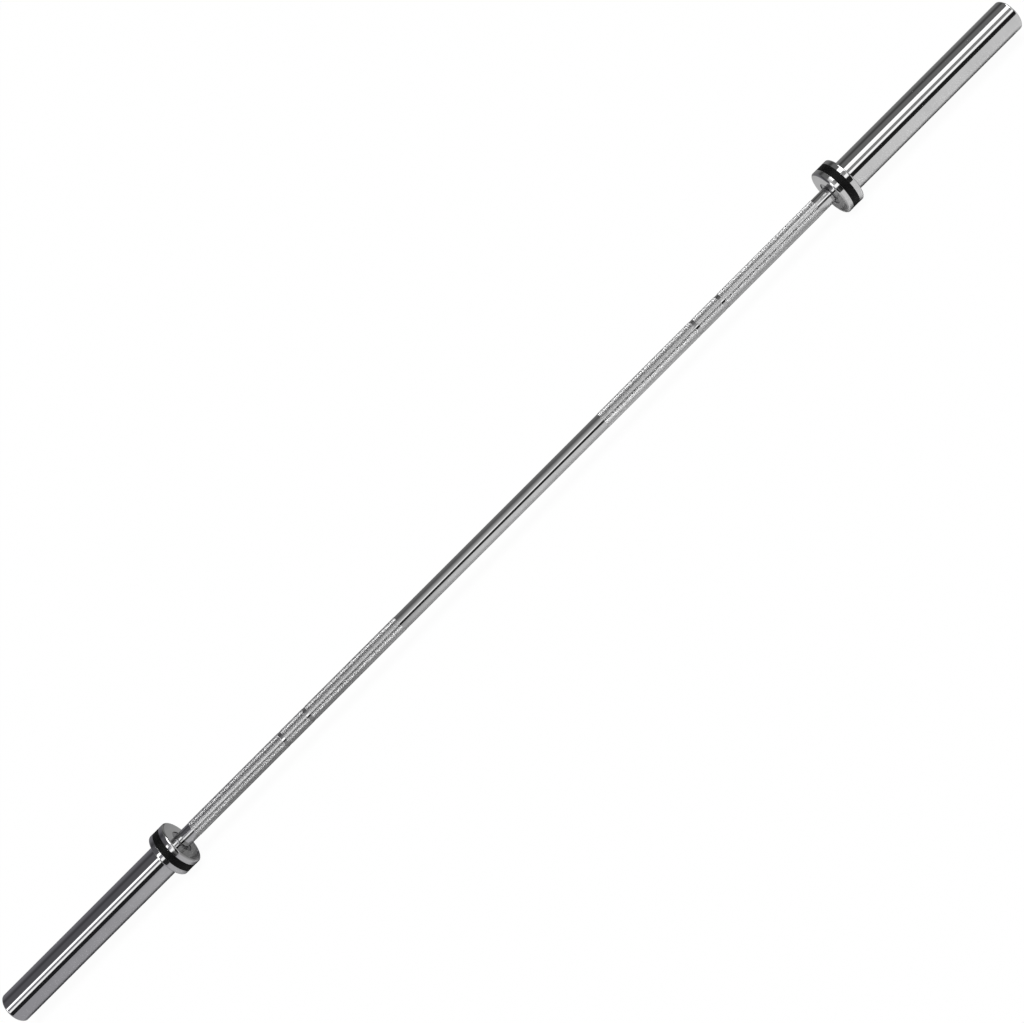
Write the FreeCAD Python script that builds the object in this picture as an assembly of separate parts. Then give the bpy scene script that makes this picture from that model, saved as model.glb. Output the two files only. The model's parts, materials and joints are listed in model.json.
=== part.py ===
import FreeCAD, Part
import os
from math import sqrt

# Olympic barbell of the 25 mm grip pattern. Millimetres, bar axis along X, +Z up, origin at the middle
# of the bar on its axis. Every piece of an end is drawn for the right end (+X) and mirrored to the left.

# Whole bar
collar_spacing = 1310.0         # between the inboard faces of the two collars
collar_width = 30.0
sleeve_length = 320.0           # loadable length, from the collar to the end of the bar

# Shaft
grip_diameter = 25.0            # smooth steel
knurl_rise = 0.25               # the knurled bands stand this far proud of the smooth steel
centre_smooth_length = 410.0
inner_mark_spacing = 782.0      # middle to middle of the inner pair of smooth ring marks
mark_pitch = 50.0               # from an inner mark to the outer mark on the same side
mark_width = 6.0
stub_length = 27.0              # smooth steel between the knurl and the collar
shoulder_step = 1.5             # the journal in the sleeve is this much smaller in radius
tail_length = 6.0               # shaft beyond the groove of its snap ring
tail_chamfer = 1.5
tail_gap = 10.0                 # from the end of the shaft to the end cap

# Sleeve and collar
sleeve_diameter = 50.0
sleeve_end_chamfer = 2.0
end_wall = 4.5                  # wall of the sleeve round the end cap
cap_seat_width = 1.5            # step that the end cap rests on
collar_seat_rise = 1.0          # the collar's press seat stands this far proud of the sleeve
collar_diameter = 75.0
collar_edge_chamfer = 2.0
band_width = 12.0               # black band in the middle of the collar's rim
band_depth = 2.0
band_sink = 0.15                # the band lies this far below the rim, so that the rim takes the floor

# Bushes and thrust washers
bush_length = 40.0              # without the flange
bush_flange_rise = 2.0
bush_flange_thickness = 3.0
bush_chamfer = 0.8              # lead-in for pressing the bush home
washer_thickness = 2.0
washer_inset = 0.25             # the washer is this much smaller in radius than the bush flange
washer_recess = 1.0             # the inner washer lies this far inside the collar's inboard face

# Snap ring on the shaft
shaft_ring_thickness = 1.2
shaft_ring_groove_depth = 0.5
shaft_ring_back_width = 3.0     # radial width opposite the gap
shaft_ring_tip_width = 1.8      # radial width beside the gap
shaft_ring_gap = 5.0
shaft_ring_lug_radius = 2.0
shaft_ring_hole_radius = 0.85

# End cap and the snap ring that holds it
cap_lead = 3.0                  # sleeve wall beyond the snap ring
cap_thickness = 4.0
cap_boss_rise = 1.5
cap_boss_gap = 1.2              # between the boss and the lugs of the snap ring
cap_boss_chamfer = 0.8
cap_ring_thickness = 1.75
cap_ring_groove_depth = 1.0
cap_ring_back_width = 3.8
cap_ring_tip_width = 2.5
cap_ring_gap = 8.0
cap_ring_lug_radius = 2.3
cap_ring_hole_radius = 1.1

# Clearances
running_clearance = 0.05        # radial, journal in bush
washer_clearance = 0.1          # radial, washer on journal
thrust_clearance = 0.05         # axial, between a washer and the bush that turns on it
mouth_clearance = 0.25          # radial, bush flange in the mouth of the collar
chamber_clearance = 0.75        # radial, outer bush flange in the sleeve
cap_clearance = 0.1             # radial, end cap in the sleeve
band_clearance = 0.05           # axial, each side of the band in its groove
ring_seat_clearance = 0.05      # radial, snap ring on the floor of its groove
ring_side_clearance = 0.1       # axial, snap ring in its groove
cut_overrun = 1.0               # how far a cutting shape runs past what it cuts

# Radii, worked out from the sizes above
grip_radius = grip_diameter / 2
knurl_radius = grip_radius + knurl_rise
journal_radius = grip_radius - shoulder_step
shaft_groove_radius = journal_radius - shaft_ring_groove_depth
sleeve_radius = sleeve_diameter / 2
collar_seat_radius = sleeve_radius + collar_seat_rise
cap_recess_radius = sleeve_radius - end_wall
cap_groove_radius = cap_recess_radius + cap_ring_groove_depth
chamber_radius = cap_recess_radius - cap_seat_width
flange_radius = chamber_radius - chamber_clearance
bush_radius = flange_radius - bush_flange_rise
bush_bore_radius = journal_radius + running_clearance
washer_radius = flange_radius - washer_inset
washer_bore_radius = journal_radius + washer_clearance
mouth_radius = flange_radius + mouth_clearance
collar_radius = collar_diameter / 2
band_floor_radius = collar_radius - band_depth
shaft_ring_seat = shaft_groove_radius + ring_seat_clearance
cap_ring_seat = cap_groove_radius - ring_seat_clearance
cap_boss_radius = cap_ring_seat - 2 * cap_ring_lug_radius - cap_boss_gap

# Places along X at the inboard side of the right end, from the middle of the bar outwards
face_x = collar_spacing / 2
collar_end_x = face_x + collar_width
knurl_end_x = face_x - stub_length
band_x = (face_x + collar_end_x - band_width) / 2
shoulder_x = face_x + washer_recess
inner_flange_x = shoulder_x + washer_thickness + thrust_clearance
sleeve_start_x = inner_flange_x + bush_flange_thickness

# Places along X at the outer end, from the end of the bar inwards
sleeve_end_x = collar_end_x + sleeve_length
cap_groove_end_x = sleeve_end_x - cap_lead
cap_ring_x = cap_groove_end_x - ring_side_clearance - cap_ring_thickness
cap_seat_x = cap_ring_x - cap_thickness
shaft_end_x = cap_seat_x - tail_gap
shaft_groove_end_x = shaft_end_x - tail_length
shaft_ring_x = shaft_groove_end_x - ring_side_clearance - shaft_ring_thickness
outer_washer_x = shaft_ring_x - washer_thickness
outer_seat_x = outer_washer_x - thrust_clearance - bush_flange_thickness

origin = FreeCAD.Vector(0, 0, 0)
bar_axis = FreeCAD.Vector(1, 0, 0)


def turned(outline):
    # A lathe piece: the closed outline has (x, radius) corners and is turned about the bar's axis.
    corners = [FreeCAD.Vector(x, 0, radius) for x, radius in outline]
    face = Part.Face(Part.makePolygon(corners + corners[:1]))
    return face.revolve(origin, bar_axis, 360)


def disc(x, thickness, radius, y=0, z=0):
    return Part.makeCylinder(radius, thickness, FreeCAD.Vector(x, y, z), bar_axis)


def gap_slot(x, thickness, gap, reach):
    # The slot that opens a snap ring at the top.
    corner = FreeCAD.Vector(x - cut_overrun, -gap / 2, 0)
    return Part.makeBox(thickness + 2 * cut_overrun, gap, reach + cut_overrun, corner)


def lug_places(gap, lug_radius, centre_radius):
    # Middles of the two lugs, one each side of the gap.
    y = gap / 2 + lug_radius
    z = sqrt(centre_radius ** 2 - y ** 2)
    return [(-y, z), (y, z)]


def pierced(ring, x, thickness, places, hole_radius):
    # Plier holes through the lugs.
    for y, z in places:
        ring = ring.cut(disc(x - cut_overrun, thickness + 2 * cut_overrun, hole_radius, y, z))
    return ring.removeSplitter()


def make_shaft():
    # Knurled bands of the right half, each from one smooth stretch to the next.
    inner_mark = inner_mark_spacing / 2
    outer_mark = inner_mark + mark_pitch
    half_mark = mark_width / 2
    bands = [
        (centre_smooth_length / 2, inner_mark - half_mark),
        (inner_mark + half_mark, outer_mark - half_mark),
        (outer_mark + half_mark, knurl_end_x),
    ]
    half = []
    for start, end in bands:
        half += [
            (start, grip_radius),
            (start + knurl_rise, knurl_radius),
            (end - knurl_rise, knurl_radius),
            (end, grip_radius),
        ]
    half += [
        (shoulder_x, grip_radius),
        (shoulder_x, journal_radius),
        (shaft_ring_x, journal_radius),
        (shaft_ring_x, shaft_groove_radius),
        (shaft_groove_end_x, shaft_groove_radius),
        (shaft_groove_end_x, journal_radius),
        (shaft_end_x - tail_chamfer, journal_radius),
        (shaft_end_x, journal_radius - tail_chamfer),
        (shaft_end_x, 0),
    ]
    other_half = [(-x, radius) for x, radius in reversed(half)]
    return turned(other_half + half)


def make_sleeve():
    return turned([
        (sleeve_start_x, bush_radius),
        (sleeve_start_x, collar_seat_radius),
        (collar_end_x, collar_seat_radius),
        (collar_end_x, sleeve_radius),
        (sleeve_end_x - sleeve_end_chamfer, sleeve_radius),
        (sleeve_end_x, sleeve_radius - sleeve_end_chamfer),
        (sleeve_end_x, cap_recess_radius),
        (cap_groove_end_x, cap_recess_radius),
        (cap_groove_end_x, cap_groove_radius),
        (cap_ring_x, cap_groove_radius),
        (cap_ring_x, cap_recess_radius),
        (cap_seat_x, cap_recess_radius),
        (cap_seat_x, chamber_radius),
        (outer_seat_x, chamber_radius),
        (outer_seat_x, bush_radius),
    ])


def make_collar():
    # A stepped ring, pressed on the sleeve until its inboard lip meets the sleeve's end.
    return turned([
        (face_x, mouth_radius),
        (face_x, collar_radius - collar_edge_chamfer),
        (face_x + collar_edge_chamfer, collar_radius),
        (band_x, collar_radius),
        (band_x, band_floor_radius),
        (band_x + band_width, band_floor_radius),
        (band_x + band_width, collar_radius),
        (collar_end_x - collar_edge_chamfer, collar_radius),
        (collar_end_x, collar_radius - collar_edge_chamfer),
        (collar_end_x, collar_seat_radius),
        (sleeve_start_x, collar_seat_radius),
        (sleeve_start_x, mouth_radius),
    ])


def make_collar_band():
    start = band_x + band_clearance
    end = band_x + band_width - band_clearance
    return turned([
        (start, band_floor_radius),
        (start, collar_radius - band_sink),
        (end, collar_radius - band_sink),
        (end, band_floor_radius),
    ])


def make_bush(seat_x, way):
    # Flanged bush. Its body runs into the sleeve from the seat, one way along X, and its flange the other.
    body_end_x = seat_x + way * bush_length
    flange_x = seat_x - way * bush_flange_thickness
    return turned([
        (flange_x, bush_bore_radius),
        (flange_x, flange_radius),
        (seat_x, flange_radius),
        (seat_x, bush_radius),
        (body_end_x - way * bush_chamfer, bush_radius),
        (body_end_x, bush_radius - bush_chamfer),
        (body_end_x, bush_bore_radius),
    ])


def make_thrust_washer(x):
    return turned([
        (x, washer_bore_radius),
        (x, washer_radius),
        (x + washer_thickness, washer_radius),
        (x + washer_thickness, washer_bore_radius),
    ])


def make_shaft_snap_ring():
    # Outside ring: its bore is true to the shaft and its rim is eccentric, widest opposite the gap.
    x = shaft_ring_x
    thickness = shaft_ring_thickness
    rim_radius = shaft_ring_seat + (shaft_ring_back_width + shaft_ring_tip_width) / 2
    shift = (shaft_ring_back_width - shaft_ring_tip_width) / 2
    lug_centre = shaft_ring_seat + shaft_ring_lug_radius
    places = lug_places(shaft_ring_gap, shaft_ring_lug_radius, lug_centre)
    ring = disc(x, thickness, rim_radius, 0, -shift)
    ring = ring.cut(gap_slot(x, thickness, shaft_ring_gap, rim_radius))
    for y, z in places:
        ring = ring.fuse(disc(x, thickness, shaft_ring_lug_radius, y, z))
    ring = ring.cut(disc(x - cut_overrun, thickness + 2 * cut_overrun, shaft_ring_seat))
    return pierced(ring, x, thickness, places, shaft_ring_hole_radius)


def make_end_cap():
    cap_radius = cap_recess_radius - cap_clearance
    boss_x = cap_ring_x + cap_boss_rise
    return turned([
        (cap_seat_x, 0),
        (cap_seat_x, cap_radius),
        (cap_ring_x, cap_radius),
        (cap_ring_x, cap_boss_radius),
        (boss_x - cap_boss_chamfer, cap_boss_radius),
        (boss_x, cap_boss_radius - cap_boss_chamfer),
        (boss_x, 0),
    ])


def make_cap_snap_ring():
    # Inside ring: its rim is true to the groove and its bore is eccentric, widest opposite the gap.
    x = cap_ring_x
    thickness = cap_ring_thickness
    bore_radius = cap_ring_seat - (cap_ring_back_width + cap_ring_tip_width) / 2
    shift = (cap_ring_back_width - cap_ring_tip_width) / 2
    lug_centre = cap_ring_seat - cap_ring_lug_radius
    places = lug_places(cap_ring_gap, cap_ring_lug_radius, lug_centre)
    ring = disc(x, thickness, cap_ring_seat)
    ring = ring.cut(disc(x - cut_overrun, thickness + 2 * cut_overrun, bore_radius, 0, shift))
    ring = ring.cut(gap_slot(x, thickness, cap_ring_gap, cap_ring_seat))
    for y, z in places:
        ring = ring.fuse(disc(x, thickness, cap_ring_lug_radius, y, z))
    return pierced(ring, x, thickness, places, cap_ring_hole_radius)


end_pieces = {
    "sleeve": make_sleeve(),
    "collar": make_collar(),
    "collar_band": make_collar_band(),
    "inner_bush": make_bush(sleeve_start_x, 1),
    "outer_bush": make_bush(outer_seat_x, -1),
    "inner_thrust_washer": make_thrust_washer(shoulder_x),
    "outer_thrust_washer": make_thrust_washer(outer_washer_x),
    "shaft_snap_ring": make_shaft_snap_ring(),
    "end_cap": make_end_cap(),
    "cap_snap_ring": make_cap_snap_ring(),
}

os.makedirs("parts", exist_ok=True)
make_shaft().exportStep("parts/shaft.step")
for name, piece in end_pieces.items():
    piece.exportStep("parts/right_" + name + ".step")
    piece.mirror(origin, bar_axis).exportStep("parts/left_" + name + ".step")
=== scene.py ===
import json
from math import cos, degrees, pi, radians, sin
import bmesh
import bpy
from mathutils import Matrix, Vector


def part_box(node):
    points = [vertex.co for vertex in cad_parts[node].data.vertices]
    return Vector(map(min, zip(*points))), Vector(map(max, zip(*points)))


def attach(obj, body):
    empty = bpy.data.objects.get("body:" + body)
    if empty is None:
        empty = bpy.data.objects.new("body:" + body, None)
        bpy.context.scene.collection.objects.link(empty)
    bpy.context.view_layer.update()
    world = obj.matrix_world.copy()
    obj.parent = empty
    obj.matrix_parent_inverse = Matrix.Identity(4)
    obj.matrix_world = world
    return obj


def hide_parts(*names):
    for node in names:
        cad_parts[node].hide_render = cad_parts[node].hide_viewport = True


# Chromed olympic barbell, in metres. The bar lies along X, +Z is up, and the camera stands on
# the -Y side.

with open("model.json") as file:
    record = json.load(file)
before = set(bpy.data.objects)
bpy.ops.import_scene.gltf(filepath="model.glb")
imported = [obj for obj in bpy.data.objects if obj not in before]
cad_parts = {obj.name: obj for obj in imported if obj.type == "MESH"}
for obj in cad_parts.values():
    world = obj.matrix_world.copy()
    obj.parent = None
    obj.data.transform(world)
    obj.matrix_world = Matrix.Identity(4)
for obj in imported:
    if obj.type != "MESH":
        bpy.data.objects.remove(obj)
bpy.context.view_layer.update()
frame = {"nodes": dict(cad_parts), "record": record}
mounts = {mount["name"]: mount for mount in frame["record"]["mounts"]}
sides = {"left": -1, "right": 1}
fullTurn = 2 * pi
perMetre = 1000                     # millimetres, the unit of a mount's sizes


# Node helpers, used by the materials, the floor and the studio

def feed(tree, socket, value):
    # a link from another node's socket, or a fixed value
    if isinstance(value, bpy.types.NodeSocket):
        tree.links.new(value, socket)
    else:
        socket.default_value = value


def addNode(tree, kind, settings=None, **inputs):
    # inputs are given by name, or by place as i0, i1 and so on
    made = tree.nodes.new(kind)
    for key, value in (settings or {}).items():
        setattr(made, key, value)
    for key, value in inputs.items():
        byPlace = key[0] == "i" and key[1:].isdigit()
        feed(tree, made.inputs[int(key[1:]) if byPlace else key], value)
    return made


def calc(tree, operation, a, b=0.0, c=0.0, clamp=False):
    settings = {"operation": operation, "use_clamp": clamp}
    return addNode(tree, "ShaderNodeMath", settings, i0=a, i1=b, i2=c).outputs[0]


def remap(tree, value, low, high, toLow=0.0, toHigh=1.0, smooth=False):
    # a value between low and high, brought to the other range and held at its ends
    settings = {"interpolation_type": "SMOOTHSTEP" if smooth else "LINEAR"}
    made = addNode(tree, "ShaderNodeMapRange", settings, i0=value, i1=low, i2=high, i3=toLow, i4=toHigh)
    return made.outputs[0]


def softStep(tree, value, place, edge, before=0.0, after=1.0):
    return remap(tree, value, place - edge, place + edge, before, after, smooth=True)


def mixColour(tree, share, first, second, blend="MIX"):
    settings = {"data_type": "RGBA", "blend_type": blend}
    return addNode(tree, "ShaderNodeMix", settings, i0=share, i6=first, i7=second).outputs[2]


def grey(level):
    return (level, level, level, 1)


def rampOf(tree, value, levels, tint=(1, 1, 1)):
    # brightness from a list of (place, level) pairs, with straight stretches between them
    low, high = levels[0][0], levels[-1][0]
    middle = 0.5
    ramp = addNode(tree, "ShaderNodeValToRGB", i0=remap(tree, value, low, high))
    stops = ramp.color_ramp.elements
    while len(stops) < len(levels):
        stops.new(middle)           # each gets its own place below
    for stop, (place, level) in zip(stops, levels):
        stop.position = (place - low) / (high - low)
        stop.color = [level * part for part in tint] + [1]
    return ramp.outputs[0]


def newGroup(name, inputs, outputs):
    tree = bpy.data.node_groups.new(name, "ShaderNodeTree")
    for label, kind, value in inputs:
        socket = tree.interface.new_socket(label, in_out="INPUT", socket_type=kind)
        if value is not None:
            socket.default_value = value
    for label in outputs:
        tree.interface.new_socket(label, in_out="OUTPUT", socket_type="NodeSocketFloat")
    start = tree.nodes.new("NodeGroupInput")
    end = tree.nodes.new("NodeGroupOutput")
    return tree, start.outputs, end.inputs


def useGroup(tree, group, **inputs):
    return addNode(tree, "ShaderNodeGroup", {"node_tree": group}, **inputs).outputs


# Shared surface effects

lathe = {
    "lines": 900.0,                 # rings to a metre
    "detail": 4.0,
    "faint": 0.3,                   # most of the rings' noise lies between these
    "strong": 0.7,
}
smudges = {
    "count": 25.0,                  # to a metre
    "detail": 5.0,
    "roughness": 0.6,
    "faint": 0.42,                  # noise below this leaves the surface clean
    "strong": 0.72,
}
scratches = {
    "stretch": (60.0, 1400.0, 1400.0),      # long along the bar, thin across it
    "detail": 2.0,
    "faint": 0.66,
    "strong": 0.72,
    "patchCount": 90.0,             # they come in patches, so many to a metre
    "patchDetail": 1.0,
    "patchFaint": 0.5,
    "patchStrong": 0.65,
}


def makeLatheMarks():
    # fine rings left by the lathe and the polishing belt, the same all the way round
    tree, given, result = newGroup(
        "latheMarks",
        [("Place", "NodeSocketVector", None), ("Lines", "NodeSocketFloat", lathe["lines"])],
        ["Rings"])
    along = addNode(tree, "ShaderNodeSeparateXYZ", i0=given["Place"]).outputs[0]
    turns = calc(tree, "MULTIPLY", along, given["Lines"])
    rings = addNode(tree, "ShaderNodeTexNoise", {"noise_dimensions": "1D"}, W=turns, Scale=1.0,
                    Detail=lathe["detail"])
    tree.links.new(rings.outputs[0], result["Rings"])
    return tree


def makeHandling():
    # smudges from hands and cloths, and thin scratches along the bar
    tree, given, result = newGroup(
        "handling",
        [("Place", "NodeSocketVector", None), ("Smudges", "NodeSocketFloat", smudges["count"]),
         ("Stretch", "NodeSocketVector", scratches["stretch"])],
        ["Smudge", "Scratch"])
    cloud = addNode(tree, "ShaderNodeTexNoise", Vector=given["Place"], Scale=given["Smudges"],
                    Detail=smudges["detail"], Roughness=smudges["roughness"]).outputs[0]
    tree.links.new(remap(tree, cloud, smudges["faint"], smudges["strong"], smooth=True), result["Smudge"])
    drawn = addNode(tree, "ShaderNodeVectorMath", {"operation": "MULTIPLY"}, i0=given["Place"],
                    i1=given["Stretch"]).outputs[0]
    lines = addNode(tree, "ShaderNodeTexNoise", Vector=drawn, Scale=1.0,
                    Detail=scratches["detail"]).outputs[0]
    patches = addNode(tree, "ShaderNodeTexNoise", Vector=given["Place"], Scale=scratches["patchCount"],
                      Detail=scratches["patchDetail"]).outputs[0]
    some = remap(tree, patches, scratches["patchFaint"], scratches["patchStrong"])
    thin = remap(tree, lines, scratches["faint"], scratches["strong"])
    tree.links.new(calc(tree, "MULTIPLY", thin, some), result["Scratch"])
    return tree


def makeAxisDistance():
    # how far a point is from the bar's axis, as a share of the way from Low to High
    tree, given, result = newGroup(
        "axisDistance",
        [("Place", "NodeSocketVector", None), ("Low", "NodeSocketFloat", 0.0),
         ("High", "NodeSocketFloat", 1.0)],
        ["Share"])
    flat = addNode(tree, "ShaderNodeVectorMath", {"operation": "MULTIPLY"}, i0=given["Place"],
                   i1=(0, 1, 1)).outputs[0]
    length = addNode(tree, "ShaderNodeVectorMath", {"operation": "LENGTH"}, i0=flat).outputs["Value"]
    tree.links.new(remap(tree, length, given["Low"], given["High"]), result["Share"])
    return tree


latheMarks = makeLatheMarks()
handling = makeHandling()
axisDistance = makeAxisDistance()


# Materials

def newMaterial(name, **settings):
    made = bpy.data.materials.new(name)
    made.use_nodes = True
    tree = made.node_tree
    shader = tree.nodes["Principled BSDF"]
    for key, value in settings.items():
        shader.inputs[key.replace("_", " ")].default_value = value
    place = addNode(tree, "ShaderNodeTexCoord").outputs["Object"]
    return made, tree, shader.inputs, place


def bumpFrom(tree, height, distance):
    return addNode(tree, "ShaderNodeBump", Height=height, Distance=distance, Strength=1.0).outputs[0]


def chrome(name, look):
    # polished plating, duller where it is smudged or scratched
    made, tree, shader, place = newMaterial(name, Metallic=1.0)
    rings = useGroup(tree, latheMarks, Place=place, Lines=look["lines"])["Rings"]
    wear = useGroup(tree, handling, Place=place, Smudges=look["smudges"])
    tint = mixColour(tree, wear["Smudge"], look["clean"], look["dull"])
    tree.links.new(tint, shader["Base Color"])
    film = remap(tree, wear["Smudge"], 0, 1, look["roughness"], look["dullRoughness"])
    rough = calc(tree, "MULTIPLY_ADD", wear["Scratch"], look["scratch"], film)
    tree.links.new(rough, shader["Roughness"])
    tree.links.new(bumpFrom(tree, rings, look["ringDepth"]), shader["Normal"])
    return made


sleeveChrome = chrome("sleeveChrome", {
    "clean": (0.606, 0.606, 0.607, 1),
    "dull": (0.57, 0.57, 0.572, 1),
    "roughness": 0.045,
    "dullRoughness": 0.085,
    "scratch": 0.1,
    "smudges": 22.0,
    "lines": 2600.0,
    "ringDepth": 0.0000012,
})
shaftChrome = chrome("shaftChrome", {
    "clean": (0.605, 0.605, 0.607, 1),
    "dull": (0.555, 0.555, 0.558, 1),
    "roughness": 0.04,
    "dullRoughness": 0.075,
    "scratch": 0.12,
    "smudges": 30.0,
    "lines": 3400.0,
    "ringDepth": 0.0000015,
})


def knurlChromeLook(look):
    # plated diamonds: bright on the tops, duller and darker down in the grooves
    made, tree, shader, place = newMaterial("knurlChrome", Metallic=1.0)
    height = useGroup(tree, axisDistance, Place=place, Low=look["root"], High=look["crest"])["Share"]
    wear = useGroup(tree, handling, Place=place, Smudges=look["smudges"])
    handled = calc(tree, "MULTIPLY", wear["Smudge"], look["grime"])
    bright = calc(tree, "SUBTRACT", height, handled, clamp=True)
    tree.links.new(mixColour(tree, bright, look["groove"], look["top"]), shader["Base Color"])
    rough = remap(tree, bright, 0, 1, look["grooveRoughness"], look["topRoughness"])
    tree.links.new(rough, shader["Roughness"])
    return made


def bandRubberLook(look):
    # moulded black ring: fine grain, and a little grey where it has been rubbed
    made, tree, shader, place = newMaterial("bandRubber", Specular_IOR_Level=look["specular"])
    grain = addNode(tree, "ShaderNodeTexNoise", Vector=place, Scale=look["grains"],
                    Detail=look["grainDetail"]).outputs[0]
    wear = useGroup(tree, handling, Place=place, Smudges=look["smudges"])
    tree.links.new(mixColour(tree, wear["Smudge"], look["clean"], look["rubbed"]), shader["Base Color"])
    rough = remap(tree, wear["Smudge"], 0, 1, look["roughness"], look["rubbedRoughness"])
    tree.links.new(rough, shader["Roughness"])
    tree.links.new(bumpFrom(tree, grain, look["grainDepth"]), shader["Normal"])
    return made


def turnedMetal(name, look):
    # bushes, washers and snap rings as they were machined, with a film of oil in places
    made, tree, shader, place = newMaterial(name, Metallic=1.0)
    rings = useGroup(tree, latheMarks, Place=place, Lines=look["lines"])["Rings"]
    wear = useGroup(tree, handling, Place=place, Smudges=look["smudges"])
    tree.links.new(mixColour(tree, wear["Smudge"], look["clean"], look["oiled"]), shader["Base Color"])
    rough = remap(tree, rings, lathe["faint"], lathe["strong"], look["roughness"], look["lineRoughness"])
    tree.links.new(rough, shader["Roughness"])
    tree.links.new(bumpFrom(tree, rings, look["ringDepth"]), shader["Normal"])
    return made


bandRubber = bandRubberLook({
    "clean": (0.003, 0.003, 0.0032, 1),
    "rubbed": (0.007, 0.007, 0.007, 1),
    "specular": 0.1,
    "roughness": 0.45,
    "rubbedRoughness": 0.58,
    "grains": 2600.0,               # to a metre
    "grainDetail": 3.0,
    "grainDepth": 0.00002,
    "smudges": 60.0,
})
bushBronze = turnedMetal("bushBronze", {
    "clean": (0.56, 0.37, 0.17, 1),
    "oiled": (0.36, 0.22, 0.09, 1),
    "roughness": 0.24,
    "lineRoughness": 0.36,
    "lines": 2200.0,
    "ringDepth": 0.000006,
    "smudges": 70.0,
})
washerSteel = turnedMetal("washerSteel", {
    "clean": (0.4, 0.4, 0.41, 1),
    "oiled": (0.22, 0.22, 0.225, 1),
    "roughness": 0.26,
    "lineRoughness": 0.4,
    "lines": 2600.0,
    "ringDepth": 0.000005,
    "smudges": 90.0,
})
springSteel = turnedMetal("springSteel", {
    "clean": (0.075, 0.075, 0.08, 1),
    "oiled": (0.04, 0.04, 0.043, 1),
    "roughness": 0.38,
    "lineRoughness": 0.5,
    "lines": 1500.0,
    "ringDepth": 0.000005,
    "smudges": 120.0,
})
print("materials:", len(bpy.data.materials))


# Modelling helpers

modelling = {
    "roundingSegments": 4,
    "mergeDistance": 0.000001,
    "sharpAngle": 30,               # degrees
}


def onSide(way, points):
    # an outline of the right end, kept there or mirrored to the left one
    return [(way * x, radius, rounding) for x, radius, rounding in points]


def spinRound(bm, steps):
    # a full turn about the bar's axis, with its seam and poles merged
    bmesh.ops.spin(bm, geom=bm.verts[:] + bm.edges[:], cent=(0, 0, 0), axis=(1, 0, 0), angle=fullTurn,
                   steps=steps, use_merge=True)
    bmesh.ops.remove_doubles(bm, verts=bm.verts, dist=modelling["mergeDistance"])


def turnPiece(outline, steps, closed=True):
    # Turns an outline of (x, radius, rounding) corners about the bar's axis. An open one ends on the axis.
    bm = bmesh.new()
    corners = [bm.verts.new((x, 0, radius)) for x, radius, rounding in outline]
    ends = corners[1:] + corners[:1] if closed else corners[1:]
    for first, second in zip(corners, ends):
        bm.edges.new((first, second))
    for size in sorted({rounding for x, radius, rounding in outline} - {0}):
        chosen = [corner for corner, (x, radius, rounding) in zip(corners, outline) if rounding == size]
        bmesh.ops.bevel(bm, geom=chosen, offset=size, offset_type="OFFSET",
                        segments=modelling["roundingSegments"], profile=0.5, affect="VERTICES", material=-1)
    spinRound(bm, steps)
    bmesh.ops.recalc_face_normals(bm, faces=bm.faces)
    return bm


def finishPiece(name, bm, material, body, nodes):
    mesh = bpy.data.meshes.new(name)
    bm.to_mesh(mesh)
    bm.free()
    mesh.materials.append(material)
    mesh.shade_smooth()
    mesh.set_sharp_from_angle(angle=radians(modelling["sharpAngle"]))
    piece = bpy.data.objects.new(name, mesh)
    bpy.context.scene.collection.objects.link(piece)
    # long walls stay straight beside their roundings
    even = piece.modifiers.new("evenShading", "WEIGHTED_NORMAL")
    even.keep_sharp = True
    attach(piece, body)
    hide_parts(*nodes)


# Shaft

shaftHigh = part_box("shaft")[1]
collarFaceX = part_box("right_collar")[0].x
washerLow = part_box("right_inner_thrust_washer")[0]
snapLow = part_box("right_shaft_snap_ring")[0]
shaft = {
    "gripRadius": 0.0125,
    "crestRadius": shaftHigh.z,     # tops of the diamonds
    "rootRadius": 0.012674,         # grooves between them
    "coreRadius": 0.0121,           # solid steel under the knurl
    "journalRadius": 0.011,
    "grooveRadius": 0.0105,         # the snap ring's groove
    "grooveWidth": 0.0013,
    "tailChamfer": 0.0015,
    "edge": 0.0002,                 # broken corners
    "steps": 160,
    "centreSmooth": 0.41,
    "markSpacing": 0.782,           # between the two inner ring marks
    "markPitch": 0.05,              # from an inner ring mark to the outer one
    "markWidth": 0.006,
    "stub": 0.027,                  # smooth steel beside each collar
}
knurl = {
    "around": 84,
    "pitchAlong": 0.00163,
    "inset": 0.00009,               # from the middle of a groove to a flat top
    "depth": 0.000076,
}


def knurlZones():
    # the three knurled bands of the right half, from the middle outwards
    innerMark = shaft["markSpacing"] / 2
    outerMark = innerMark + shaft["markPitch"]
    half = shaft["markWidth"] / 2
    return {
        "inner": (shaft["centreSmooth"] / 2, innerMark - half),
        "middle": (innerMark + half, outerMark - half),
        "outer": (outerMark + half, collarFaceX - shaft["stub"]),
    }


def shaftOutline():
    grip, core, edge = shaft["gripRadius"], shaft["coreRadius"], shaft["edge"]
    half = []
    for start, end in knurlZones().values():
        half += [(start, grip, edge), (start, core, 0), (end, core, 0), (end, grip, edge)]
    journal, groove = shaft["journalRadius"], shaft["grooveRadius"]
    grooveEnd = snapLow.x + shaft["grooveWidth"]
    half += [
        (washerLow.x, grip, edge),
        (washerLow.x, journal, 0),
        (snapLow.x, journal, 0),
        (snapLow.x, groove, 0),
        (grooveEnd, groove, 0),
        (grooveEnd, journal, 0),
        (shaftHigh.x - shaft["tailChamfer"], journal, edge),
        (shaftHigh.x, journal - shaft["tailChamfer"], edge),
        (shaftHigh.x, 0, 0),
    ]
    return onSide(sides["left"], reversed(half)) + half


def openEdges(bm):
    return [edge for edge in bm.edges if len(edge.link_faces) == 1]


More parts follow.
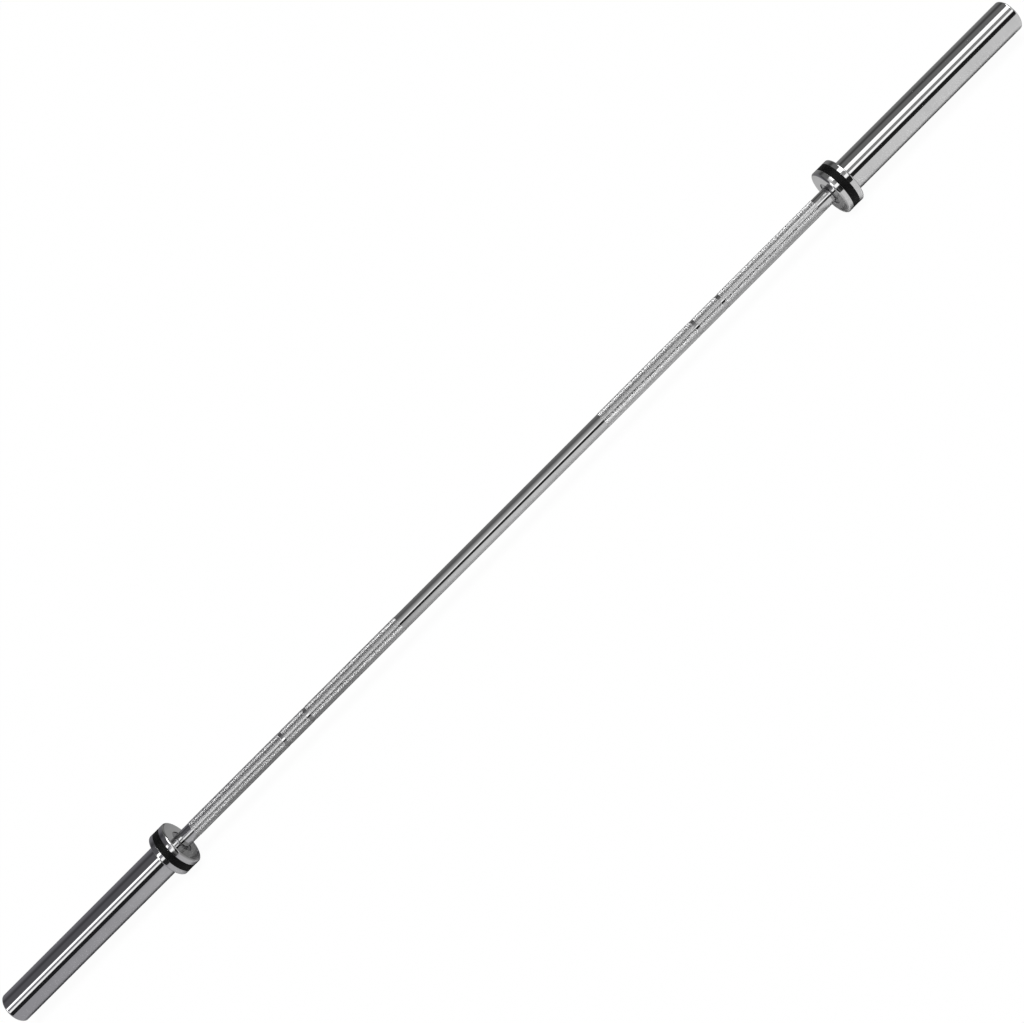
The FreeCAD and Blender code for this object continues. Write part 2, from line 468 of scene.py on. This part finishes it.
def knurlBand(start, end):
    # A sleeve of diamonds: quads are poked and their own edges dissolved, which leaves rhombs, and each
    # rhomb is drawn in and raised to a flat-topped pyramid.
    rows = round(abs(end - start) / knurl["pitchAlong"])
    bm = bmesh.new()
    first = bm.verts.new((start, 0, shaft["rootRadius"]))
    last = bm.verts.new((end, 0, shaft["rootRadius"]))
    line = bm.edges.new((first, last))
    bmesh.ops.subdivide_edges(bm, edges=[line], cuts=rows - 1)
    spinRound(bm, knurl["around"])
    grid = [edge for edge in bm.edges if len(edge.link_faces) == 2]
    bmesh.ops.poke(bm, faces=bm.faces[:])
    bmesh.ops.dissolve_edges(bm, edges=grid, use_verts=False)
    bmesh.ops.recalc_face_normals(bm, faces=bm.faces)
    bmesh.ops.inset_individual(bm, faces=bm.faces[:], thickness=knurl["inset"], depth=knurl["depth"],
                               use_even_offset=True)
    # end walls down to the core, and the bore
    inner = bmesh.ops.extrude_edge_only(bm, edges=openEdges(bm))["geom"]
    drop = shaft["coreRadius"] / shaft["rootRadius"]
    feet = [item for item in inner if isinstance(item, bmesh.types.BMVert)]
    bmesh.ops.scale(bm, vec=(1, drop, drop), verts=feet)
    bmesh.ops.bridge_loops(bm, edges=openEdges(bm))
    bmesh.ops.recalc_face_normals(bm, faces=bm.faces)
    return bm


knurlChrome = knurlChromeLook({
    "root": shaft["rootRadius"],
    "crest": shaft["crestRadius"],
    "top": (0.68, 0.68, 0.682, 1),
    "groove": (0.58, 0.58, 0.582, 1),
    "topRoughness": 0.2,
    "grooveRoughness": 0.28,
    "grime": 0.18,
    "smudges": 35.0,
})
finishPiece("shaft_core", turnPiece(shaftOutline(), shaft["steps"], closed=False), shaftChrome,
            "shaft_assembly", ["shaft"])
for side, way in sides.items():
    for zone, (start, end) in knurlZones().items():
        finishPiece(f"{side}_{zone}_knurl", knurlBand(way * start, way * end), knurlChrome,
                    "shaft_assembly", ["shaft"])
print("shaft: core and", len(sides) * len(knurlZones()), "knurled bands")


# Sleeves and end caps

sleeveLow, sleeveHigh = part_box("right_sleeve")
collarLow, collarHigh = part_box("right_collar")
capLow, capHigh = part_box("right_end_cap")
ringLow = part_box("right_cap_snap_ring")[0]
sleeve = {
    "radius": mounts["right_sleeve_pin"]["dims"]["r_mm"] / perMetre,
    "seatRadius": 0.026,            # under the collar
    "bore": 0.01625,
    "chamberRadius": 0.019,
    "recessRadius": 0.0205,         # for the end cap
    "grooveRadius": 0.0215,         # the cap snap ring's groove
    "grooveEnd": 0.003,             # wall beyond that groove
    "bushFlange": 0.003,            # the outer bush's flange, which stands in the chamber
    "chamfer": 0.002,
    "rounding": 0.0007,
    "edge": 0.0003,
    "steps": 192,
}
cap = {
    "radius": capHigh.z,
    "bossRadius": 0.01565,
    "bossChamfer": 0.0008,
    "edge": 0.0003,
    "steps": 160,
}


def sleeveOutline(way):
    end = sleeveHigh.x
    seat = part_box("right_outer_bush")[1].x - sleeve["bushFlange"]
    grooveEnd = end - sleeve["grooveEnd"]
    return onSide(way, [
        (sleeveLow.x, sleeve["bore"], 0),
        (sleeveLow.x, sleeve["seatRadius"], 0),
        (collarHigh.x, sleeve["seatRadius"], 0),
        (collarHigh.x, sleeve["radius"], 0),
        (end - sleeve["chamfer"], sleeve["radius"], sleeve["rounding"]),
        (end, sleeve["radius"] - sleeve["chamfer"], sleeve["rounding"]),
        (end, sleeve["recessRadius"], sleeve["edge"]),
        (grooveEnd, sleeve["recessRadius"], 0),
        (grooveEnd, sleeve["grooveRadius"], 0),
        (ringLow.x, sleeve["grooveRadius"], 0),
        (ringLow.x, sleeve["recessRadius"], 0),
        (capLow.x, sleeve["recessRadius"], 0),
        (capLow.x, sleeve["chamberRadius"], 0),
        (seat, sleeve["chamberRadius"], 0),
        (seat, sleeve["bore"], 0),
    ])


def capOutline(way):
    return onSide(way, [
        (capLow.x, 0, 0),
        (capLow.x, cap["radius"], 0),
        (ringLow.x, cap["radius"], cap["edge"]),
        (ringLow.x, cap["bossRadius"], 0),
        (capHigh.x - cap["bossChamfer"], cap["bossRadius"], cap["edge"]),
        (capHigh.x, cap["bossRadius"] - cap["bossChamfer"], cap["edge"]),
        (capHigh.x, 0, 0),
    ])


for side, way in sides.items():
    body = side + "_sleeve_assembly"
    finishPiece(side + "_sleeve_tube", turnPiece(sleeveOutline(way), sleeve["steps"]), sleeveChrome,
                body, [side + "_sleeve"])
    finishPiece(side + "_sleeve_cap", turnPiece(capOutline(way), cap["steps"], closed=False),
                sleeveChrome, body, [side + "_end_cap"])
print("sleeves and end caps:", 2 * len(sides), "pieces")


# Collars and their black bands

bandLow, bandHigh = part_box("right_collar_band")
collar = {
    "radius": min(collarHigh.y, collarHigh.z),      # the smaller, so that it stays in the CAD box
    "mouthRadius": 0.0185,
    "chamfer": 0.002,
    "rounding": 0.001,
    "mouthEdge": 0.0003,
    "bandFloor": 0.0355,            # radius of the channel that holds the band
    "bandGap": 0.00005,
    "bandLip": 0.00015,
    "steps": 256,
}
band = {
    "radius": min(bandHigh.y, bandHigh.z),
    "edge": 0.0004,
    "steps": 256,
}


def collarOutline(way):
    low, high = collarLow.x, collarHigh.x
    bandStart, bandEnd = bandLow.x - collar["bandGap"], bandHigh.x + collar["bandGap"]
    radius, chamfer = collar["radius"], collar["chamfer"]
    return onSide(way, [
        (low, collar["mouthRadius"], collar["mouthEdge"]),
        (low, radius - chamfer, collar["rounding"]),
        (low + chamfer, radius, collar["rounding"]),
        (bandStart, radius, collar["bandLip"]),
        (bandStart, collar["bandFloor"], 0),
        (bandEnd, collar["bandFloor"], 0),
        (bandEnd, radius, collar["bandLip"]),
        (high - chamfer, radius, collar["rounding"]),
        (high, radius - chamfer, collar["rounding"]),
        (high, sleeve["seatRadius"], 0),
        (sleeveLow.x, sleeve["seatRadius"], 0),
        (sleeveLow.x, collar["mouthRadius"], 0),
    ])


def bandOutline(way):
    return onSide(way, [
        (bandLow.x, collar["bandFloor"], 0),
        (bandLow.x, band["radius"], band["edge"]),
        (bandHigh.x, band["radius"], band["edge"]),
        (bandHigh.x, collar["bandFloor"], 0),
    ])


for side, way in sides.items():
    body = side + "_sleeve_assembly"
    finishPiece(side + "_collar_ring", turnPiece(collarOutline(way), collar["steps"]), sleeveChrome,
                body, [side + "_collar"])
    finishPiece(side + "_band_ring", turnPiece(bandOutline(way), band["steps"]), bandRubber,
                body, [side + "_collar_band"])
print("collars and bands:", 2 * len(sides), "pieces")


# Inner pieces keep their own solids and get their finish here

innerFinishes = {
    "inner_bush": bushBronze,
    "outer_bush": bushBronze,
    "inner_thrust_washer": washerSteel,
    "outer_thrust_washer": washerSteel,
    "shaft_snap_ring": springSteel,
    "cap_snap_ring": springSteel,
}
for side in sides:
    for piece, material in innerFinishes.items():
        frame["nodes"][f"{side}_{piece}"].material_slots[0].material = material
print("inner pieces:", len(sides) * len(innerFinishes))


# Studio: a pale floor, painted with light and shadow that only the chrome mirrors, soft strips of light
# overhead and in front, and a dim room behind

floor = {
    "height": -collar["radius"],
    "half": 60.0,
    "paper": 0.98,                  # what the camera sees
    "shadowShare": 0.035,
    # painted light for what the chrome sees beyond the collars: paler towards the right, darker towards the
    # left
    "leftX": -1.1,
    "left": (0.43, 0.424, 0.452, 1),
    "rightX": -0.1,
    "right": (0.88, 0.88, 0.88, 1),
    # and painted shadow, dimmer under the bar and far behind it, by the distance behind its axis
    "paintedShadowByDepth": [(-0.1, 1), (-0.021, 1), (-0.014, 0.66), (0.008, 0.66), (0.017, 0.85), (0.028, 0.5),
                (0.043, 0.28), (0.06, 0.32), (0.085, 0.7), (0.13, 0.68), (0.3, 0.25)],
    # the same painted light and shadow between the collars, by the place along the bar and by the same
    # distance
    "innerX": 0.648,
    "innerEdge": 0.004,
    "innerPaintedLightByX": [(-0.665, 0.5), (-0.64, 0.48), (-0.61, 0.41), (-0.56, 0.36), (-0.4, 0.36), (-0.33, 0.38),
                 (-0.26, 0.5), (-0.2, 0.64), (-0.12, 0.84), (0, 0.92), (0.15, 0.9), (0.3, 0.78),
                 (0.4, 0.72), (0.55, 0.66), (0.665, 0.6)],
    "innerPaintedShadowByDepth": [(-0.3, 1), (-0.09, 0.98), (-0.055, 0.93), (-0.035, 0.85), (-0.024, 0.66),
                     (-0.016, 0.55), (-0.008, 0.95), (0.005, 0.95), (0.017, 1), (0.024, 0.8),
                     (0.032, 0.56), (0.043, 0.5), (0.06, 0.55), (0.085, 0.96), (0.13, 0.96), (0.3, 0.35)],
}
overheadLamp = {
    "lean": 15.0,                   # to the camera's side, so the shadow falls under and behind the bar
    "softness": 40.0,
    "strength": 2.4,
}
# Each strip runs from one angle to another over the bar, in degrees from the horizon on the camera's side,
# and along a stretch of the sideways share of a mirrored ray. Later strips lie over earlier ones.
softBoxes = [
    # upper lines of the sleeves and collars, right and left
    {"from": 59.5, "to": 81.8, "xFrom": 0.242, "xTo": 0.5, "glow": 2.2, "endEdge": 0.002},
    {"from": 52.2, "to": 63.8, "xFrom": -0.6, "xTo": -0.3425, "glow": 2.2, "endEdge": 0.002},
    # far to the sides, where only the sloping flanks of the diamonds mirror them
    {"from": 60, "to": 90, "xFrom": 0.48, "xTo": 0.64, "glow": 6.2, "endEdge": 0.03},
    {"from": 63, "to": 112, "xFrom": 0.63, "xTo": 0.82, "glow": 6.2, "endEdge": 0.03},
    {"from": 44, "to": 66, "xFrom": -0.86, "xTo": -0.55, "glow": 7.2, "endEdge": 0.03},
    {"from": 36, "to": 60, "xFrom": 0.48, "xTo": 0.63, "glow": 3, "endEdge": 0.03},
    # low in front: the smooth centre, and the stubs beside the left and right collars
    {"from": -5, "to": 4, "xFrom": -0.155, "xTo": 0.04, "glow": 0.7, "endEdge": 0.006},
    {"from": -5, "to": 24, "xFrom": -0.342, "xTo": -0.329, "glow": 0.2, "endEdge": 0.003},
    {"from": -5, "to": 28, "xFrom": 0.226, "xTo": 0.235, "glow": 0.22, "endEdge": 0.003},
    # lower line of the left end, with more on the outer part of its knurl
    {"from": 26.5, "to": 38.5, "xFrom": -0.6, "xTo": -0.2, "glow": 1.4, "endEdge": 0.05},
    {"from": 22, "to": 46, "xFrom": -0.325, "xTo": -0.225, "glow": 1.95, "endEdge": 0.03},
    # line of the smooth centre
    {"from": 33.5, "to": 43, "xFrom": -0.155, "xTo": 0.04, "glow": 1.6, "endEdge": 0.006},
    # outer part of the right knurl, and the lower line of the right end
    {"from": 28, "to": 78, "xFrom": 0.15, "xTo": 0.21, "glow": 1.15, "endEdge": 0.02},
    {"from": 28, "to": 78, "xFrom": 0.195, "xTo": 0.2328, "glow": 1.15, "endEdge": 0.004},
    {"from": 26.7, "to": 40.2, "xFrom": 0.1, "xTo": 0.5, "glow": 1.55, "endEdge": 0.05},
]
room = {
    "edge": 1.5,                    # softness of a strip's long edges, in degrees
    "sideEdge": 0.05,               # how softly one side of the room gives way to the next
    # brightness of the room by angle, from the camera's horizon over the top to the one behind the bar
    "left": [(0, 0.02), (25, 0.02), (42, 0.3), (50, 0.3), (68, 0.14), (77, 0.12), (100, 0.13),
             (116, 0.065), (128, 0.095), (140, 0.17), (155, 0.2), (180, 0.22)],
    "middle": [(0, 0.02), (25, 0.02), (44, 0.7), (55, 0.66), (69, 0.44), (84, 0.27), (98, 0.14),
               (117, 0.15), (138, 0.21), (180, 0.24)],
    "right": [(0, 0.02), (25, 0.02), (44, 0.34), (60, 0.36), (86, 0.19), (112, 0.2), (125, 0.07),
              (131, 0.075), (146, 0.2), (165, 0.26), (180, 0.26)],
    "leftTint": (1.0, 0.98, 1.08),
    "middleFrom": -0.25,            # where one of these gives way to the next, by the sideways share
    "middleTo": 0.1,
    "fill": 0.25,                   # what lights the floor beside the lamp
    "paper": 1.0,                   # what the camera sees
    "wallStart": 0.9,               # beyond this sideways share the ends of the room take over
    "wallEnd": 0.98,
    "wallFoot": -0.3,               # they brighten between these upward shares
    "wallHead": 0.6,
    "wallLow": 0.25,
    "wallHigh": 0.85,
}


def makeFloor():
    bm = bmesh.new()
    bmesh.ops.create_grid(bm, x_segments=1, y_segments=1, size=floor["half"])
    bmesh.ops.translate(bm, vec=(0, 0, floor["height"]), verts=bm.verts)
    mesh = bpy.data.meshes.new("floor")
    bm.to_mesh(mesh)
    bm.free()
    made = bpy.data.materials.new("palePaperPaintedShade")
    made.use_nodes = True
    tree = made.node_tree
    tree.nodes.clear()
    place = addNode(tree, "ShaderNodeTexCoord").outputs["Object"]
    along, back = addNode(tree, "ShaderNodeSeparateXYZ", i0=place).outputs[:2]
    # painted light and shadow, seen only in the chrome's reflections: darker towards the left, under the
    # bar and far behind it
    share = remap(tree, along, floor["leftX"], floor["rightX"], smooth=True)
    outer = mixColour(tree, share, floor["left"], floor["right"])
    outer = mixColour(tree, 1.0, outer, rampOf(tree, back, floor["paintedShadowByDepth"]), "MULTIPLY")
    inner = rampOf(tree, along, floor["innerPaintedLightByX"])
    inner = mixColour(tree, 1.0, inner, rampOf(tree, back, floor["innerPaintedShadowByDepth"]), "MULTIPLY")
    past = softStep(tree, calc(tree, "ABSOLUTE", along), floor["innerX"], floor["innerEdge"])
    paintedLightTone = mixColour(tree, past, inner, outer)
    paintedLightDiffuse = addNode(tree, "ShaderNodeBsdfDiffuse", Color=paintedLightTone).outputs[0]
    # the camera sees plain white, with a little of the bar's shadow
    pale = addNode(tree, "ShaderNodeBsdfDiffuse", Color=grey(floor["paper"])).outputs[0]
    lit = addNode(tree, "ShaderNodeEmission", Color=grey(1.0)).outputs[0]
    seen = addNode(tree, "ShaderNodeMixShader", i0=floor["shadowShare"], i1=lit, i2=pale).outputs[0]
    byCamera = addNode(tree, "ShaderNodeLightPath").outputs["Is Camera Ray"]
    final = addNode(tree, "ShaderNodeMixShader", i0=byCamera, i1=paintedLightDiffuse, i2=seen).outputs[0]
    addNode(tree, "ShaderNodeOutputMaterial", Surface=final)
    mesh.materials.append(made)
    obj = bpy.data.objects.new("floor", mesh)
    bpy.context.scene.collection.objects.link(obj)


def makeOverheadLamp():
    data = bpy.data.lights.new("overheadLamp", "SUN")
    data.energy = overheadLamp["strength"]
    data.angle = radians(overheadLamp["softness"])
    lamp = bpy.data.objects.new("overheadLamp", data)
    lamp.rotation_euler = (radians(overheadLamp["lean"]), 0, 0)
    lamp.visible_glossy = False     # the chrome mirrors the strips instead
    bpy.context.scene.collection.objects.link(lamp)


def within(tree, value, low, high, edge):
    # 1 between low and high, fading out at both
    rise = softStep(tree, value, low, edge)
    fall = softStep(tree, value, high, edge, 1.0, 0.0)
    return calc(tree, "MULTIPLY", rise, fall)


def stripOfLight(tree, angle, along, box):
    across = within(tree, angle, box["from"], box["to"], room["edge"])
    length = within(tree, along, box["xFrom"], box["xTo"], box["endEdge"])
    return calc(tree, "MULTIPLY", across, length)


def makeStudio():
    world = bpy.data.worlds.new("studio")
    bpy.context.scene.world = world
    world.use_nodes = True
    world.cycles.sampling_method = "NONE"       # only mirrored rays meet the strips
    tree = world.node_tree
    tree.nodes.clear()
    direction = addNode(tree, "ShaderNodeTexCoord").outputs["Generated"]
    x, y, z = addNode(tree, "ShaderNodeSeparateXYZ", i0=direction).outputs
    turned = calc(tree, "ARCTAN2", z, calc(tree, "MULTIPLY", y, -1.0))
    angle = calc(tree, "MULTIPLY", turned, degrees(1))
    light = rampOf(tree, angle, room["left"], room["leftTint"])
    for start, levels in (("middleFrom", "middle"), ("middleTo", "right")):
        past = softStep(tree, x, room[start], room["sideEdge"])
        light = mixColour(tree, past, light, rampOf(tree, angle, room[levels]))
    for box in softBoxes:
        light = mixColour(tree, stripOfLight(tree, angle, x, box), light, grey(box["glow"]))
    wall = remap(tree, z, room["wallFoot"], room["wallHead"], room["wallLow"], room["wallHigh"])
    endOn = remap(tree, calc(tree, "ABSOLUTE", x), room["wallStart"], room["wallEnd"], smooth=True)
    light = mixColour(tree, endOn, light, wall)
    path = addNode(tree, "ShaderNodeLightPath").outputs
    plain = mixColour(tree, path["Is Camera Ray"], grey(room["fill"]), grey(room["paper"]))
    shown = mixColour(tree, path["Is Glossy Ray"], plain, light)
    background = addNode(tree, "ShaderNodeBackground", Color=shown).outputs[0]
    addNode(tree, "ShaderNodeOutputWorld", Surface=background)


makeFloor()
makeOverheadLamp()
makeStudio()
print("studio: floor, lamp and", len(softBoxes), "soft strips")


# Camera: rolled, so that the bar runs from the lower left corner to the upper right one

view = {
    "distance": 2.143,              # from the bar's axis
    "elevation": 28.0,
    "footX": 0.121,                 # the camera stands opposite this point of the bar
    "aimX": 0.0216,
    "roll": 44.98,
    "focalPixels": 1502.5,
    "imageWidth": 1024,
    "sensor": 36.0,                 # millimetres
    "reach": 200,                   # past the far edge of the floor
}


def makeCamera():
    rise = radians(view["elevation"])
    place = Vector((view["footX"], -view["distance"] * cos(rise), view["distance"] * sin(rise)))
    forward = (Vector((view["aimX"], 0, 0)) - place).normalized()
    barWay = Vector((1, 0, 0))
    barRight = (barWay - forward * barWay.dot(forward)).normalized()
    barUp = barRight.cross(forward)
    roll = radians(view["roll"])
    right = barRight * cos(roll) - barUp * sin(roll)
    up = barRight * sin(roll) + barUp * cos(roll)
    data = bpy.data.cameras.new("camera")
    data.sensor_width = view["sensor"]
    data.lens = view["focalPixels"] / view["imageWidth"] * view["sensor"]
    data.clip_end = view["reach"]
    camera = bpy.data.objects.new("camera", data)
    bpy.context.scene.collection.objects.link(camera)
    turned = Matrix((right, up, -forward)).transposed().to_4x4()
    turned.translation = place
    camera.matrix_world = turned
    bpy.context.scene.camera = camera


makeCamera()
bpy.context.scene.view_settings.view_transform = "Standard"

print("done")
